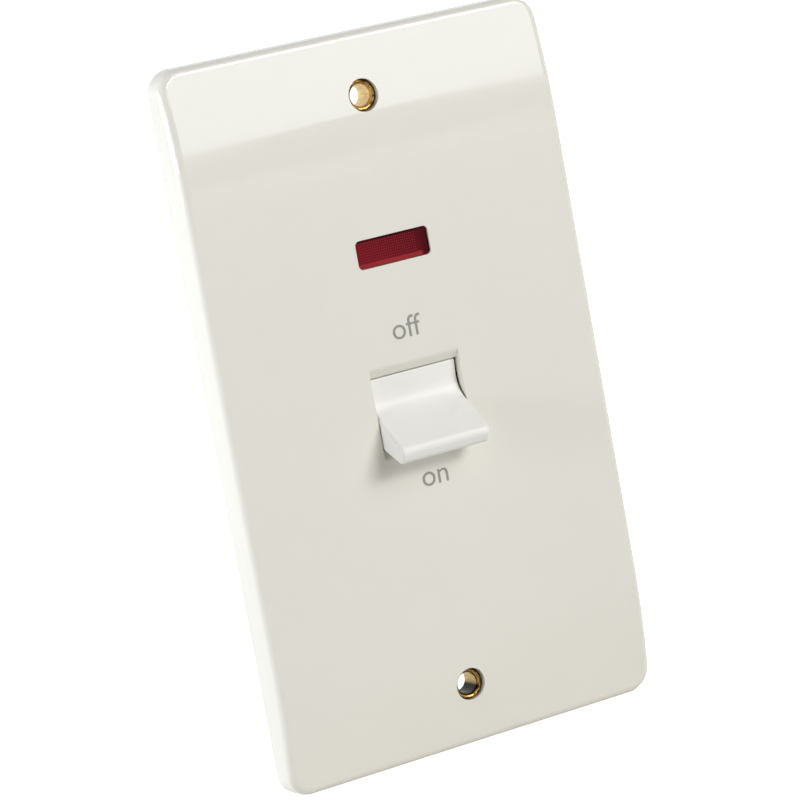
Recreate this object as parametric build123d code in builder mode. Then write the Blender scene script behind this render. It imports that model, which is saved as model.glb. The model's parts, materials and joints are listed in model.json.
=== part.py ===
from build123d import *

import os
from math import cos, hypot, radians, sin, sqrt

# Double pole switch on a tall moulded plate, with a neon window above its rocker.
# Millimetres. X runs to the right seen from the front, Z up along the plate, and -Y out of the wall.
# The origin is the plate's centre on the wall plane, so the mechanism lies behind it at +Y.

# Front plate
plate_width = 86.0
plate_height = 146.0
projection = 7.2
plate_wall = 2.2
skirt_wall = 2.4
corner_radius = 5.0
edge_radius = 1.7
side_draft = 2.0
flat_height = 92.0
end_roll_radius = 132.0
rib_wall = 1.4
rib_height = 2.2
rib_span = 72.0
rib_spacing = 94.0

# Fixing holes and their eyelets
fixing_margin = 12.7
fixing_bore_radius = 2.2
eyelet_wall = 0.45
eyelet_rim_radius = 3.2
eyelet_rim_height = 0.95
eyelet_lip_radius = 0.3
eyelet_sink = 1.1
eyelet_flare_radius = 3.5
eyelet_flare_height = 0.5
eyelet_fit = 0.05
eyelet_mouth_gap = 0.1
fixing_boss_radius = 5.4

# Rocker opening in the plate
opening_width = 20.6
opening_height = 18.06
throat_height = 14.6
lip_depth = 1.2
lip_edge_radius = 1.4
pivot_height = -2.2
pivot_depth = 7.4

# Rocker
rocker_side_gap = 0.25
rocker_throw = 30.0
swing_gap = 0.32
blade_reach = 16.8
blade_tip_thickness = 3.65
blade_root_thickness = 7.0
blade_root_height = 4.0
shoulder_edge_height = 1.66
shoulder_edge_span = 17.86
shoulder_thickness = 1.5
hub_depth = 2.2
hub_span = 6.4
blade_root_fillet = 4.8
blade_tip_fillet = 1.5
blade_side_fillet = 0.6
shoulder_edge_fillet = 0.3
trunnion_radius = 1.8
trunnion_length = 2.9
trunnion_fit = 0.06
trunnion_end_gap = 0.25
pole_offset = 6.0
barrel_radius = 2.6
barrel_reach = 6.6

# Plungers and springs
plunger_radius = 1.65
plunger_fit = 0.05
tail_length = 8.5
plunger_stem = 5.1
spigot_radius = 0.8
spigot_length = 1.5
spring_seat_height = 2.6
spring_wire_radius = 0.25
spring_bore_gap = 0.2
spring_end_gap = 0.05
spring_turns = 4

# See-saw contact bars
fulcrum_distance = 12.3
seesaw_tilt = 7.0
fulcrum_radius = 0.8
fulcrum_fit = 0.08
saddle_gap = 0.1
saddle_span = 10.8
horn_flat = 0.8
horn_slope = 1.0
bar_width = 6.0
bar_span = 27.6
bar_thickness = 1.4
bar_back_gap = 0.1

# Contact tips
contact_offset = 12.5
contact_radius = 1.9
moving_tip_height = 0.8
contact_gap = 0.06
dome_radius = 4.0
fixed_tip_height = 1.0

# Contact strips
strip_width = 6.0
strip_thickness = 1.2
load_strip_toe = 2.7
bridge_toe = 1.5

# Switch base
base_floor = 18.5
floor_thickness = 2.5
base_wall = 2.2
base_inner_width = 28.0
base_inner_height = 50.0
divider_wall = 1.6
divider_front = 8.0
cheek_height = 10.0
cheek_gap = 0.4
keeper_width = 3.2
keeper_gap = 0.1
keeper_thickness = 2.0
ear_offset_x = 20.0
ear_offset_z = 20.0
ear_width = 6.4
ear_front = -1.0
ear_thickness = 2.5
lead_notch_width = 2.0
lead_notch_rear = 5.7

# Base screws
base_screw_radius = 1.15
base_screw_fit = 0.05
ear_hole_radius = 1.5
base_screw_head_radius = 2.5
base_screw_head_height = 1.6
base_screw_reach = 3.0
base_screw_end_gap = 0.3

# Cable terminals
terminal_offset = 8.0
terminal_width = 10.0
terminal_length = 10.0
terminal_depth = 9.5
terminal_bore_radius = 3.0
terminal_bore_front_wall = 0.8
terminal_screw_radius = 2.0
terminal_screw_fit = 0.1
terminal_screw_clear = 0.2
screw_head_radius = 2.9
screw_head_height = 2.0
screw_head_lift = 0.4
screw_slot_width = 0.8
screw_slot_depth = 0.9
screw_access_gap = 0.4
cable_entry_margin = 0.6

# Neon lens, lamp and holder
window_width = 16.6
window_height = 5.8
window_radius = 1.0
window_centre = 29.6
lens_gap = 0.12
lens_sink = 0.4
lens_flange_width = 20.0
lens_flange_height = 8.0
lens_flange_thickness = 1.1
holder_depth = 7.1
holder_wall = 1.2
holder_ear_reach = 4.4
holder_ear_width = 4.4
holder_ear_thickness = 1.5
holder_pin_radius = 1.1
holder_pin_fit = 0.05
pin_head_radius = 1.7
pin_head_height = 0.7
lamp_radius = 2.2
lamp_length = 11.5
lamp_start = -6.5
lamp_depth = 3.0
pinch_length = 2.0
pinch_width = 3.2
pinch_thickness = 1.4
cradle_wall = 1.0
cradle_spacing = 6.0
cradle_fit = 0.05
lead_radius = 0.3
lead_spacing = 1.4
lead_side_run = 0.9
lead_small_bend = 0.7
lead_bend = 2.0
lead_rear = 4.6
lead_landing = 17.0
lead_hole_gap = 0.4
resistor_radius = 1.2
resistor_length = 7.0
resistor_fillet = 0.5

# Earth terminal and strap
earth_height = -39.0
earth_width = 8.0
earth_length = 9.0
earth_depth = 8.6
earth_bore_radius = 2.4
earth_bore_front_wall = 1.6
earth_screw_radius = 1.6
earth_head_radius = 2.4
earth_head_height = 1.6
strap_width = 7.0
strap_thickness = 0.8
strap_end_run = 4.4
pocket_wall = 1.2
pocket_height = 3.0
pocket_gap = 0.15

# Places that several pieces share
face = -projection
inner_face = face + plate_wall
flat_half = flat_height / 2
plate_half = plate_height / 2
pivot_y = face + pivot_depth
rocker_width = opening_width - 2 * rocker_side_gap
swing_radius = hypot(shoulder_edge_height, shoulder_edge_span / 2) + swing_gap
fulcrum_y = pivot_y + fulcrum_distance
bar_end = bar_span / 2
base_rear = base_floor + floor_thickness
base_end = base_inner_height / 2
terminal_front = base_floor - terminal_depth
terminal_bore_y = terminal_front + terminal_bore_front_wall + terminal_bore_radius
terminal_middle = base_end - terminal_length / 2
fixing_height = plate_half - fixing_margin
lens_tongue_width = window_width - 2 * lens_gap
lens_tongue_height = window_height - 2 * lens_gap
cradle_radius = lamp_radius + cradle_fit
holder_front = inner_face + lens_flange_thickness
lamp_y = holder_front + lamp_depth
strap_rear = -eyelet_flare_height
strap_front = strap_rear - strap_thickness
earth_bore_y = strap_rear + earth_bore_front_wall + earth_bore_radius
rib_rear = inner_face + rib_height
fixing_bosses = {fixing_height: strap_rear, -fixing_height: strap_front}
keeper_rear = pivot_y - trunnion_radius - keeper_gap
cheek_inner = rocker_width / 2 + cheek_gap
slot_end = rocker_width / 2 + trunnion_length + trunnion_end_gap
keeper_offset = (cheek_inner + slot_end) / 2
holder_ear_rear = holder_front + holder_ear_thickness
holder_pin_offset = lens_flange_width / 2 + holder_ear_reach / 2
pocket_rear = strap_rear + pocket_height
barrel_bore = plunger_radius + plunger_fit
stem_start = tail_length - plunger_stem
spring_height = stem_start + spring_seat_height - 2 * (spring_wire_radius + spring_end_gap)
base_outer_width = base_inner_width + 2 * base_wall
base_outer_height = base_inner_height + 2 * base_wall
load_inner = pivot_height + base_end - terminal_length
supply_inner = pivot_height - base_end + terminal_length
cable_entry_size = 2 * (terminal_bore_radius + cable_entry_margin)
holder_rear = holder_front + holder_depth
holder_floor = holder_rear - holder_wall
lamp_end = lamp_start + lamp_length + pinch_length
lamp_align = (Align.CENTER, Align.CENTER, Align.MIN)
lead_across = lamp_end + lead_side_run
upper_lead_height = window_centre + lead_spacing / 2
lower_lead_height = window_centre - lead_spacing / 2
sides = {"left": -1, "right": 1}

# The rocker's own plane: first axis along the blade, second axis across it
blade_way = (0, -cos(radians(rocker_throw)), -sin(radians(rocker_throw)))
tail_way = tuple(-part for part in blade_way)
rocker_plane = Plane(origin=(0, pivot_y, pivot_height), x_dir=blade_way, z_dir=(-1, 0, 0))
tail_plane = Plane(origin=(0, pivot_y, pivot_height), x_dir=(1, 0, 0), z_dir=tail_way)

# The see-saw's own plane: first axis along the bar, second axis towards the rocker
bar_way = (0, sin(radians(seesaw_tilt)), cos(radians(seesaw_tilt)))
seesaw_plane = Plane(origin=(0, fulcrum_y, pivot_height), x_dir=bar_way, z_dir=(1, 0, 0))

# The plunger's nose seen from the see-saw bar: at mid throw, and at the end of the throw
end_angle = radians(rocker_throw + seesaw_tilt)
nose_low = fulcrum_distance - tail_length
nose_run = tail_length * sin(end_angle) - fulcrum_distance * sin(radians(seesaw_tilt))
nose_rise = fulcrum_distance * cos(radians(seesaw_tilt)) - tail_length * cos(end_angle) - nose_low
nose_path_radius = (nose_run**2 + nose_rise**2) / (2 * nose_rise)

# Outline of the see-saw bar, from its fulcrum
bar_back = bar_back_gap
bar_front = bar_back + bar_thickness
notch_radius = fulcrum_radius + fulcrum_fit
notch_half = sqrt(notch_radius**2 - bar_back**2)
saddle_half = saddle_span / 2
saddle_radius = nose_path_radius + plunger_radius + saddle_gap
saddle_low = nose_low - plunger_radius - saddle_gap
horn_top = saddle_low + saddle_radius - sqrt(saddle_radius**2 - saddle_half**2)
horn_edge = saddle_half + horn_flat
horn_foot = horn_edge + horn_slope

# Where the closed contacts meet, and the strip behind the fixed one
bar_back_way = (0, cos(radians(seesaw_tilt)), -sin(radians(seesaw_tilt)))
dome_reach = moving_tip_height + contact_gap + dome_radius
dome_centre = seesaw_plane.from_local_coords((contact_offset, bar_back - dome_reach, 0))
dome_height = dome_centre.Z
dome_face = dome_centre.Y - dome_radius
dome_sag = dome_radius - sqrt(dome_radius**2 - contact_radius**2)
strip_front = dome_face + fixed_tip_height
strip_rear = strip_front + strip_thickness
strip_low = dome_height - load_strip_toe

os.makedirs("parts", exist_ok=True)


def keep(builder, name):
    """Label a finished piece and write it to its own file."""
    builder.part.label = name
    export_step(builder.part, f"parts/{name}.step")


def roll_drop(height):
    """How far the face has rolled back at a height above the plate's centre."""
    run = max(abs(height) - flat_half, 0)
    return end_roll_radius - sqrt(end_roll_radius**2 - run**2)


def front(depth):
    """Plane that faces the user, at a distance behind the wall plane."""
    return Plane.XZ.offset(-depth)


def plate_section(depth):
    """Side view of the plate: a flat face that rolls back at both ends, sunk by a depth."""
    level = face + depth
    end_level = level + roll_drop(plate_half)
    with BuildSketch(Plane.YZ.offset(-plate_width / 2)) as section:
        with BuildLine():
            Line((0, plate_half), (0, -plate_half))
            Line((0, -plate_half), (end_level, -plate_half))
            TangentArc((level, -flat_half), (end_level, -plate_half), tangent=(0, -1))
            Line((level, -flat_half), (level, flat_half))
            TangentArc((level, flat_half), (end_level, plate_half), tangent=(0, 1))
            Line((end_level, plate_half), (0, plate_half))
        make_face()
    return section.sketch


def opening_section():
    """Side view of the rocker opening: lips that slope in from the face to a narrow throat."""
    throat_y = face + lip_depth
    top_mouth = pivot_height + opening_height / 2
    low_mouth = pivot_height - opening_height / 2
    top_throat = pivot_height + throat_height / 2
    low_throat = pivot_height - throat_height / 2
    with BuildSketch(Plane.YZ.offset(-opening_width / 2)) as section:
        with BuildLine():
            Line((face, top_mouth), (throat_y, top_throat))
            Line((throat_y, top_throat), (0, top_throat))
            Line((0, top_throat), (0, low_throat))
            Line((0, low_throat), (throat_y, low_throat))
            Line((face, low_mouth), (throat_y, low_throat))
            Line((face, low_mouth), (face, top_mouth))
        make_face()
    return section.sketch


def wall_middle(height):
    """Depth of the middle of the plate's wall, where ribs and bosses root."""
    return face + roll_drop(height) + plate_wall / 2


def along_blade(edge):
    """How far an edge's middle lies from the pivot, along the rocker's blade."""
    return rocker_plane.to_local_coords(edge.center()).X


eyelet_face = face + roll_drop(fixing_height) + eyelet_sink
eyelet_seat = eyelet_face + eyelet_rim_height

# The hollow behind the face
with BuildPart() as plate_hollow:
    extrude(plate_section(plate_wall), amount=plate_width)
    with BuildSketch(Plane.XZ):
        RectangleRounded(
            plate_width - 2 * skirt_wall, plate_height - 2 * skirt_wall, corner_radius - skirt_wall
        )
    extrude(amount=projection, taper=side_draft, mode=Mode.INTERSECT)

# Moulded plate: drafted skirt, rolled ends, windows, bosses, keepers and ribs
with BuildPart() as front_plate:
    extrude(plate_section(0), amount=plate_width)
    with BuildSketch(Plane.XZ):
        RectangleRounded(plate_width, plate_height, corner_radius)
    extrude(amount=projection, taper=side_draft, mode=Mode.INTERSECT)
    front_limit = face + roll_drop(plate_half) + edge_radius
    front_edges = front_plate.edges().filter_by(lambda e: e.center().Y < front_limit)
    side_edges = front_edges.filter_by(lambda e: abs(e.center().X) > edge_radius)
    end_edges = front_edges.filter_by(lambda e: abs(e.center().Z) > plate_half - corner_radius)
    fillet(set(side_edges + end_edges), edge_radius)
    add(plate_hollow.part, mode=Mode.SUBTRACT)

    # Ribs across the hollow
    with BuildSketch(front(rib_rear)):
        with GridLocations(0, rib_spacing, 1, 2):
            Rectangle(rib_span, rib_wall)
    extrude(amount=rib_rear - wall_middle(rib_spacing / 2))

    # Fixing bosses, bored for the eyelets and opened at the face for their rims
    for height, boss_rear in fixing_bosses.items():
        with BuildSketch(front(boss_rear)):
            with Locations((0, height)):
                Circle(fixing_boss_radius)
        extrude(amount=boss_rear - wall_middle(height))
        with BuildSketch(front(boss_rear)):
            with Locations((0, height)):
                Circle(fixing_bore_radius + eyelet_wall + eyelet_fit)
        extrude(amount=boss_rear - face, mode=Mode.SUBTRACT)
        with BuildSketch(front(eyelet_seat)):
            with Locations((0, height)):
                Circle(eyelet_rim_radius + eyelet_mouth_gap)
        extrude(amount=eyelet_seat - face, mode=Mode.SUBTRACT)

    # Neon window
    with BuildSketch(front(inner_face)):
        with Locations((0, window_centre)):
            RectangleRounded(window_width, window_height, window_radius)
    extrude(amount=plate_wall, mode=Mode.SUBTRACT)

    # Rocker opening, hollowed behind its lips for the swing of the shoulders
    extrude(opening_section(), amount=opening_width, mode=Mode.SUBTRACT)
    mouth_edges = front_plate.edges(Select.LAST).filter_by_position(Axis.Y, face, face)
    fillet(mouth_edges.filter_by(Axis.X), lip_edge_radius)
    with Locations((0, pivot_y, pivot_height)):
        Cylinder(swing_radius, opening_width, rotation=(0, 90, 0), mode=Mode.SUBTRACT)

    # Keepers that hold the rocker's trunnions in their slots
    with BuildSketch(front(keeper_rear)):
        with Locations((0, pivot_height)):
            with GridLocations(2 * keeper_offset, 0, 2, 1):
                Rectangle(keeper_thickness, keeper_width)
    extrude(amount=keeper_rear - wall_middle(pivot_height))

    # Bosses for the base screws
    with BuildSketch(front(ear_front)):
        with Locations((0, pivot_height)):
            with GridLocations(2 * ear_offset_x, 2 * ear_offset_z, 2, 2):
                Circle(ear_width / 2)
    extrude(amount=ear_front - wall_middle(pivot_height))
    with BuildSketch(front(ear_front)):
        with Locations((0, pivot_height)):
            with GridLocations(2 * ear_offset_x, 2 * ear_offset_z, 2, 2):
                Circle(base_screw_radius + base_screw_fit)
    extrude(amount=base_screw_reach + base_screw_end_gap, mode=Mode.SUBTRACT)

    # Pins that hold the lamp holder, with their heads pressed over its ears
    with BuildSketch(front(holder_ear_rear)):
        with Locations((0, window_centre)):
            with GridLocations(2 * holder_pin_offset, 0, 2, 1):
                Circle(holder_pin_radius)
    extrude(amount=holder_ear_rear - wall_middle(window_centre))
    with BuildSketch(front(holder_ear_rear)):
        with Locations((0, window_centre)):
            with GridLocations(2 * holder_pin_offset, 0, 2, 1):
                Circle(pin_head_radius)
    extrude(amount=-pin_head_height)

    # Seat and cheeks of the earth terminal
    with BuildSketch(front(strap_front)):
        with Locations((0, earth_height)):
            Rectangle(earth_width, earth_length)
    extrude(amount=strap_front - wall_middle(earth_height))
    with BuildSketch(front(pocket_rear)):
        with Locations((0, earth_height)):
            with GridLocations(earth_width + 2 * pocket_gap + pocket_wall, 0, 2, 1):
                Rectangle(pocket_wall, earth_length)
    extrude(amount=pocket_rear - wall_middle(earth_height))
keep(front_plate, "front_plate")

# Brass eyelets: a rounded rim sunk in the face, a tube, and a rear end flared over its boss
for name, height in (("upper_eyelet", fixing_height), ("lower_eyelet", -fixing_height)):
    bore = height + fixing_bore_radius
    tube = bore + eyelet_wall
    rim = height + eyelet_rim_radius
    crest = rim - eyelet_lip_radius
    flare = height + eyelet_flare_radius
    eyelet_end = strap_rear + eyelet_flare_height
    with BuildPart() as eyelet:
        with BuildSketch(Plane.YZ):
            with BuildLine():
                TangentArc((eyelet_face + crest - bore, bore), (eyelet_face, crest), tangent=(-1, 0))
                TangentArc((eyelet_face, crest), (eyelet_face + rim - crest, rim), tangent=(0, 1))
                Polyline(
                    (eyelet_face + rim - crest, rim),
                    (eyelet_seat, rim),
                    (eyelet_seat, tube),
                    (strap_rear, tube),
                    (strap_rear, flare),
                    (eyelet_end, flare),
                    (eyelet_end, bore),
                    (eyelet_face + crest - bore, bore),
                )
            make_face()
        revolve(axis=Axis((0, 0, height), (0, 1, 0)))
    keep(eyelet, name)

# Rocker: a wedge blade between two sloping shoulders, with trunnions and two plunger barrels
with BuildPart() as rocker:
    with BuildSketch(rocker_plane.offset(-rocker_width / 2)):
        with BuildLine():
            Polyline(
                (blade_reach, 0),
                (blade_reach, blade_tip_thickness / 2),
                (blade_root_height, blade_root_thickness / 2),
                (shoulder_edge_height, shoulder_edge_span / 2),
                (shoulder_edge_height - shoulder_thickness, shoulder_edge_span / 2),
                (-hub_depth, hub_span / 2),
                (-hub_depth, 0),
            )
            mirror(about=Plane.XZ)
        make_face()
    extrude(amount=rocker_width)
    lengthwise = rocker.edges().filter_by(Axis.X)
    tip_edges = lengthwise.filter_by(lambda e: along_blade(e) > blade_reach - blade_tip_thickness)
    fillet(tip_edges, blade_tip_fillet)
    root_edges = rocker.edges().filter_by(Axis.X).filter_by(
        lambda e: abs(along_blade(e) - blade_root_height) < blade_side_fillet
    )
    fillet(root_edges, blade_root_fillet)
    shoulder_edges = rocker.edges().filter_by(Axis.X).filter_by(
        lambda e: abs(along_blade(e) - shoulder_edge_height) < shoulder_edge_fillet
    )
    fillet(shoulder_edges, shoulder_edge_fillet)
    end_faces = rocker.faces().filter_by(Axis.X)
    fillet(end_faces.edges().filter_by(lambda e: along_blade(e) > shoulder_edge_height), blade_side_fillet)
    with Locations((0, pivot_y, pivot_height)):
        Cylinder(trunnion_radius, rocker_width + 2 * trunnion_length, rotation=(0, 90, 0))
    with BuildSketch(tail_plane):
        with GridLocations(2 * pole_offset, 0, 2, 1):
            Circle(barrel_radius)
    extrude(amount=barrel_reach)
    with BuildSketch(tail_plane.offset(-spring_seat_height)):
        with GridLocations(2 * pole_offset, 0, 2, 1):
            Circle(barrel_bore)
    extrude(amount=spring_seat_height + barrel_reach, mode=Mode.SUBTRACT)
keep(rocker, "rocker")

# Plungers: a round nose on the see-saw's saddle, a stem in the barrel and a spigot in the spring
for side, way in sides.items():
    pole_origin = (way * pole_offset, pivot_y, pivot_height)
    with BuildPart() as plunger:
        with BuildSketch(Plane(origin=pole_origin, x_dir=tail_way, z_dir=(1, 0, 0))):
            with BuildLine():
                Polyline(
                    (tail_length + plunger_radius, 0),
                    (stem_start - spigot_length, 0),
                    (stem_start - spigot_length, spigot_radius),
                    (stem_start, spigot_radius),
                    (stem_start, plunger_radius),
                    (tail_length, plunger_radius),
                )
                TangentArc((tail_length, plunger_radius), (tail_length + plunger_radius, 0), tangent=(1, 0))
            make_face()
        revolve(axis=Axis(pole_origin, tail_way))
    keep(plunger, f"{side}_plunger")

# Coil springs between the plungers and the blind ends of their barrels
for side, way in sides.items():
    pole_plane = tail_plane.offset(stem_start - spring_wire_radius - spring_end_gap)
    spring_start = pole_plane.from_local_coords((way * pole_offset, 0, 0))
    with BuildPart() as spring:
        with BuildLine():
            coil = Helix(
                pitch=spring_height / spring_turns,
                height=spring_height,
                radius=barrel_bore - spring_bore_gap - spring_wire_radius,
                center=spring_start,
                direction=blade_way,
            )
        with BuildSketch(Plane(origin=coil @ 0, z_dir=coil % 0)):
            Circle(spring_wire_radius)
        sweep(is_frenet=True)
    keep(spring, f"{side}_spring")

# See-saw bars: a saddle that follows the plunger's nose, horns, flat wings and a fulcrum notch
for side, way in sides.items():
    with BuildPart() as seesaw:
        with BuildSketch(seesaw_plane.offset(way * pole_offset - bar_width / 2)):
            with BuildLine():
                ThreePointArc((-notch_half, bar_back), (0, notch_radius), (notch_half, bar_back))
                Polyline(
                    (notch_half, bar_back),
                    (bar_end, bar_back),
                    (bar_end, bar_front),
                    (horn_foot, bar_front),
                    (horn_edge, horn_top),
                    (saddle_half, horn_top),
                )
                ThreePointArc((saddle_half, horn_top), (0, saddle_low), (-saddle_half, horn_top))
                Polyline(
                    (-saddle_half, horn_top),
                    (-horn_edge, horn_top),
                    (-horn_foot, bar_front),
                    (-bar_end, bar_front),
                    (-bar_end, bar_back),
                    (-notch_half, bar_back),
                )
            make_face()
        extrude(amount=bar_width)
    keep(seesaw, f"{side}_seesaw")

# Silver contact tips: a flat disc on each see-saw bar, and a domed rivet that it closes on
for side, way in sides.items():
    bar_plane = seesaw_plane.offset(way * pole_offset)
    tip_seat = bar_plane.from_local_coords((contact_offset, bar_back, 0))
    with BuildPart() as moving_contact:
        with BuildSketch(Plane(origin=tip_seat, x_dir=(1, 0, 0), z_dir=bar_back_way)):
            Circle(contact_radius)
        extrude(amount=moving_tip_height)
    keep(moving_contact, f"{side}_moving_contact")

    with BuildPart() as fixed_contact:
        with BuildSketch(Plane.YZ.offset(way * pole_offset)):
            with BuildLine():
                Polyline(
                    (dome_face, dome_height),
                    (strip_front, dome_height),
                    (strip_front, dome_height + contact_radius),
                    (dome_face + dome_sag, dome_height + contact_radius),
                )
                TangentArc(
                    (dome_face, dome_height),
                    (dome_face + dome_sag, dome_height + contact_radius),
                    tangent=(0, 1),
                )
            make_face()
        revolve(axis=Axis((way * pole_offset, 0, dome_height), (0, 1, 0)))
    keep(fixed_contact, f"{side}_fixed_contact")

# Strips that join the fixed contacts to the load terminals
for side, way in sides.items():
    with BuildPart() as load_strip:
        with BuildSketch(front(strip_rear)):
            with Locations((way * pole_offset, (strip_low + load_inner) / 2)):
                Rectangle(strip_width, load_inner - strip_low)
        extrude(amount=strip_thickness)
    keep(load_strip, f"{side}_load_strip")

# Bridges from the supply terminals, each with the upright edge that its see-saw rocks on
for side, way in sides.items():
    bridge_front = base_floor - strip_thickness
    with BuildPart() as supply_bridge:
        with BuildSketch(Plane.YZ.offset(way * pole_offset - strip_width / 2)):
            with BuildLine():
                Polyline(
                    (fulcrum_y, pivot_height - fulcrum_radius),
                    (bridge_front, pivot_height - fulcrum_radius),
                    (bridge_front, supply_inner),
                    (base_floor, supply_inner),
                    (base_floor, pivot_height + bridge_toe),
                    (bridge_front, pivot_height + bridge_toe),
                    (bridge_front, pivot_height + fulcrum_radius),
                    (fulcrum_y, pivot_height + fulcrum_radius),
                )
                ThreePointArc(
                    (fulcrum_y, pivot_height + fulcrum_radius),
                    (fulcrum_y - fulcrum_radius, pivot_height),
                    (fulcrum_y, pivot_height - fulcrum_radius),
                )
            make_face()
        extrude(amount=strip_width)
    keep(supply_bridge, f"{side}_supply_bridge")

# Switch base: an open box behind the plate, with ears, bearing cheeks and a wall between the poles
with BuildPart() as switch_base:
    with BuildSketch(front(base_rear)):
        with Locations((0, pivot_height)):
            RectangleRounded(base_outer_width, base_outer_height, base_wall)
    extrude(amount=base_rear - inner_face)
    with BuildSketch(front(ear_front + ear_thickness)):
        with Locations((0, pivot_height)):
            with GridLocations(0, 2 * ear_offset_z, 1, 2):
                SlotCenterToCenter(2 * ear_offset_x, ear_width)
    extrude(amount=ear_thickness)
    with BuildSketch(front(ear_front + ear_thickness)):
        with Locations((0, pivot_height)):
            with GridLocations(2 * ear_offset_x, 2 * ear_offset_z, 2, 2):
                Circle(ear_hole_radius)
    extrude(amount=ear_thickness, mode=Mode.SUBTRACT)
    with BuildSketch(front(base_floor)):
        with Locations((0, pivot_height)):
            Rectangle(base_inner_width, base_inner_height)
    extrude(amount=base_floor - inner_face, mode=Mode.SUBTRACT)
    with BuildSketch(front(base_floor)):
        with Locations((0, pivot_height)):
            Rectangle(divider_wall, base_inner_height)
    extrude(amount=base_floor - divider_front)
    with BuildSketch(front(base_floor)):
        with Locations((0, pivot_height)):
            with GridLocations(cheek_inner + base_inner_width / 2, 0, 2, 1):
                Rectangle(base_inner_width / 2 - cheek_inner, cheek_height)
    extrude(amount=base_floor - inner_face)

    # Slots for the rocker's trunnions, open to the front
    with BuildSketch(Plane.YZ.offset(-slot_end)):
        with Locations((pivot_y, pivot_height)):
            Circle(trunnion_radius + trunnion_fit)
        with Locations(((inner_face + pivot_y) / 2, pivot_height)):
            Rectangle(pivot_y - inner_face, 2 * (trunnion_radius + trunnion_fit))
    extrude(amount=2 * slot_end, mode=Mode.SUBTRACT)

    # Ledges under the load strips
    with BuildSketch(front(base_floor)):
        with Locations((0, (strip_low + load_inner) / 2)):
            with GridLocations(2 * pole_offset, 0, 2, 1):
                Rectangle(strip_width, load_inner - strip_low)
    extrude(amount=base_floor - strip_rear)

    # Ways to the terminal screws from behind, and to the terminals from both ends
    with BuildSketch(front(base_rear)):
        with Locations((0, pivot_height)):
            with GridLocations(2 * terminal_offset, 2 * terminal_middle, 2, 2):
                Circle(screw_head_radius + screw_access_gap)
    extrude(amount=floor_thickness, mode=Mode.SUBTRACT)
    for wall_start in (pivot_height + base_end, pivot_height - base_end - base_wall):
        with BuildSketch(Plane.XY.offset(wall_start)):
            with Locations((0, terminal_bore_y)):
                with GridLocations(2 * terminal_offset, 0, 2, 1):
                    Rectangle(cable_entry_size, cable_entry_size)
        extrude(amount=base_wall, mode=Mode.SUBTRACT)

    # Notches for the lamp's leads
    with BuildSketch(Plane.XY.offset(pivot_height + base_end)):
        with Locations((0, (inner_face + lead_notch_rear) / 2)):
            with GridLocations(2 * terminal_offset, 0, 2, 1):
                Rectangle(lead_notch_width, lead_notch_rear - inner_face)
    extrude(amount=base_wall, mode=Mode.SUBTRACT)
keep(switch_base, "switch_base")


def cable_terminal(name, place, rear, block, bore_radius, bore_y, screw_hole_radius):
    """Brass block with a cable bore along Z and a tapped hole from behind into that bore."""
    width, length, depth = block
    across, height = place
    with BuildPart() as terminal:
        with BuildSketch(front(rear)):
            with Locations(place):
                Rectangle(width, length)
        extrude(amount=depth)
        with BuildSketch(Plane.XY.offset(height - length / 2)):
            with Locations((across, bore_y)):
                Circle(bore_radius)
        extrude(amount=length, mode=Mode.SUBTRACT)
        with BuildSketch(front(rear)):
            with Locations(place):
                Circle(screw_hole_radius)
        extrude(amount=rear - bore_y, mode=Mode.SUBTRACT)
    keep(terminal, name)


def slotted_screws(name, places, tip_y, head_front, shank_radius, head_radius, head_height):
    """Cheese-head screws driven from behind, one solid at each place."""
    head_rear = head_front + head_height
    with BuildPart() as screws:
        with BuildSketch(front(head_rear)):
            with Locations(places):
                Circle(head_radius)
        extrude(amount=head_height)
        with BuildSketch(front(head_front)):
            with Locations(places):
                Circle(shank_radius)
        extrude(amount=head_front - tip_y)
        with BuildSketch(front(head_rear)):
            with Locations(places):
                Rectangle(2 * head_radius, screw_slot_width)
        extrude(amount=screw_slot_depth, mode=Mode.SUBTRACT)
    keep(screws, name)


# Four cable terminals and their clamp screws
terminal_block = (terminal_width, terminal_length, terminal_depth)
terminal_places = []
for row, up in (("load", 1), ("supply", -1)):
    for side, way in sides.items():
        terminal_place = (way * terminal_offset, pivot_height + up * terminal_middle)
        terminal_places.append(terminal_place)
        cable_terminal(
            f"{side}_{row}_terminal",
            terminal_place,
            base_floor,
            terminal_block,
            terminal_bore_radius,
            terminal_bore_y,
            terminal_screw_radius + terminal_screw_fit,
        )
slotted_screws(
    "terminal_screws",
    terminal_places,
    terminal_bore_y + terminal_bore_radius + terminal_screw_clear,
    base_floor + screw_head_lift,
    terminal_screw_radius,
    screw_head_radius,
    screw_head_height,
)

# Screws that hold the base to the plate
base_screw_places = []
for way in sides.values():
    for up in (1, -1):
        base_screw_places.append((way * ear_offset_x, pivot_height + up * ear_offset_z))
slotted_screws(
    "base_screws",
    base_screw_places,
    ear_front - base_screw_reach,
    ear_front + ear_thickness,
    base_screw_radius,
    base_screw_head_radius,
    base_screw_head_height,
)

# Red lens: a tongue in the window and a flange behind the plate
with BuildPart() as neon_lens:
    with BuildSketch(front(holder_front)):
        with Locations((0, window_centre)):
            Rectangle(lens_flange_width, lens_flange_height)
    extrude(amount=lens_flange_thickness)
    with BuildSketch(front(inner_face)):
        with Locations((0, window_centre)):
            RectangleRounded(lens_tongue_width, lens_tongue_height, window_radius - lens_gap)
    extrude(amount=plate_wall - lens_sink)
keep(neon_lens, "neon_lens")

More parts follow.
